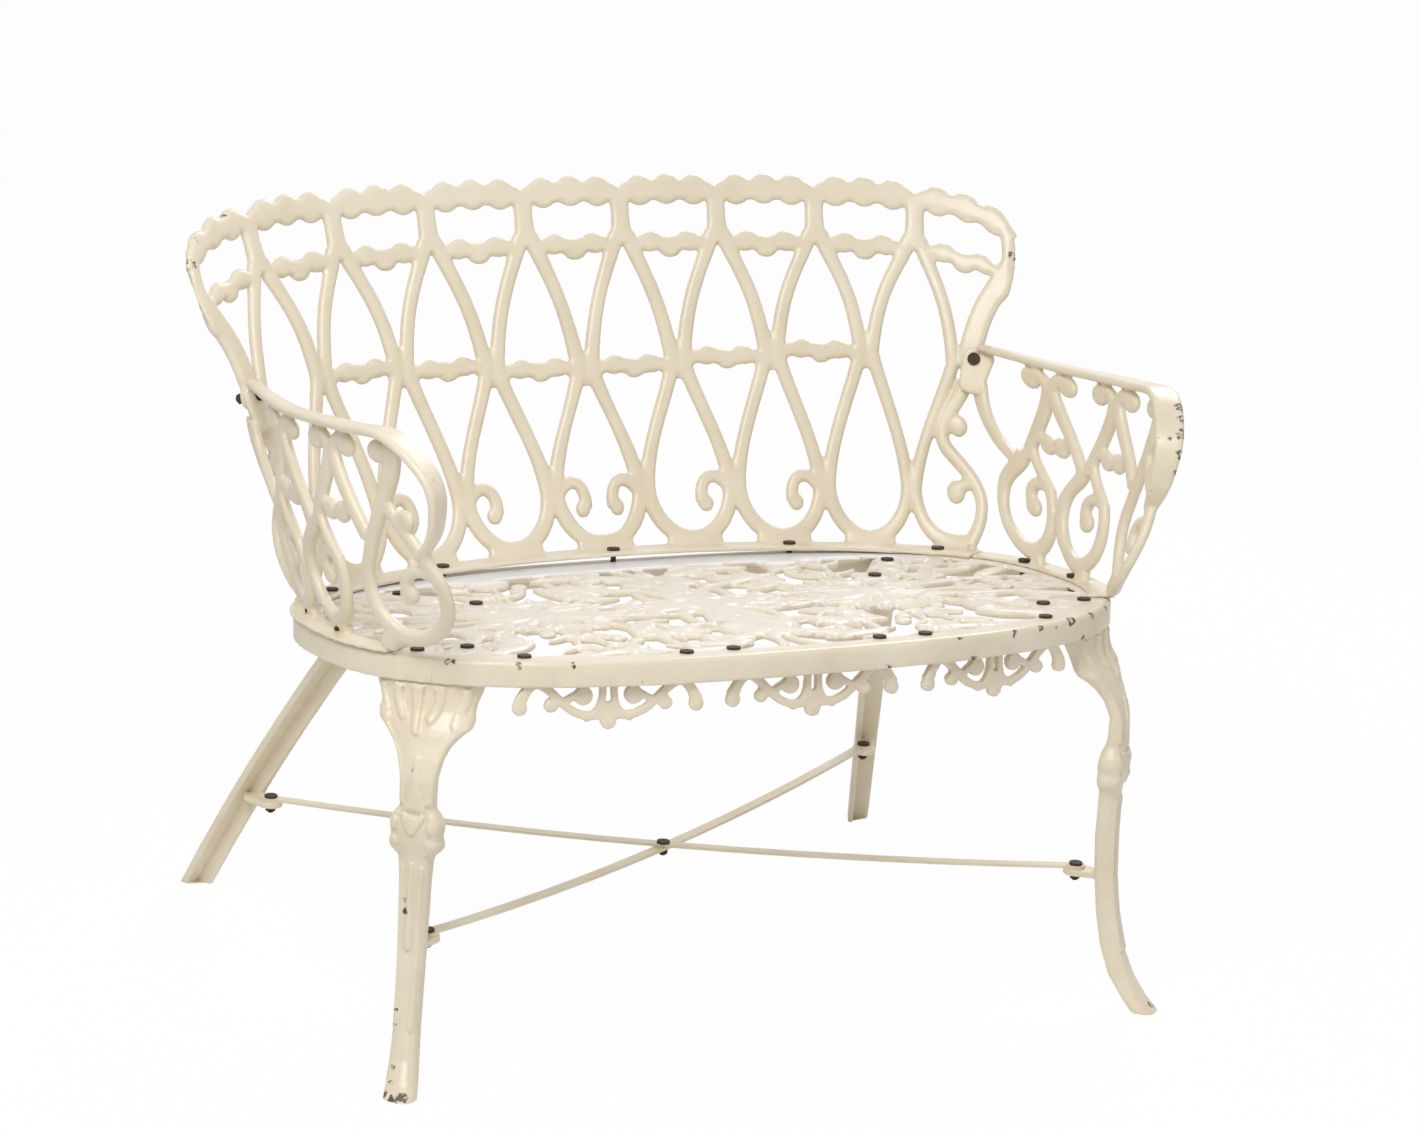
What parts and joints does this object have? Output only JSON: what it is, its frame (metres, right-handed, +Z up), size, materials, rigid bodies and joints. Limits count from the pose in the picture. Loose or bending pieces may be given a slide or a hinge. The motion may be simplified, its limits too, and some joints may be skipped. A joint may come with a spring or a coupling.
{
  "type": "garden bench",
  "caption": "Painted cast iron garden bench with a pierced scroll seat, a curved openwork back, scrolled arms with rolled rails, cabriole front legs and crossed stretcher bars.",
  "frame": {"origin": "on the floor under the middle of the bench's overall box", "axes": "+X along the bench to the sitter's left as seen from behind, +Y to the back, +Z up"},
  "size_m": [0.9632, 0.6898, 0.7708],
  "materials": {
    "paint": "gloss",
    "bar": "gloss",
    "bolts": "rough"
  },
  "bodies": {
    "root": {"back_panel": "paint", "left_arm": "paint", "right_arm": "paint", "seat": "paint", "front_left_leg": "paint", "front_right_leg": "paint", "rear_left_leg": "paint", "rear_right_leg": "paint", "apron_left": "paint", "apron_centre": "paint", "apron_right": "paint", "stretcher_to_rear_right": "bar", "stretcher_to_rear_left": "bar", "crossing_bolt": "bolts", "crossing_nut": "bolts", "stretcher_bolts": "bolts", "stretcher_nuts": "bolts", "back_flange_bolts": "bolts", "back_flange_nuts": "bolts", "arm_flange_bolts": "bolts", "arm_flange_nuts": "bolts", "arm_joint_bolts": "bolts", "arm_joint_nuts": "bolts", "front_leg_bolts": "bolts", "front_leg_nuts": "bolts", "rear_leg_bolts": "bolts", "rear_leg_nuts": "bolts", "apron_bolts": "bolts", "apron_nuts": "bolts"}
  },
  "joints": []
}
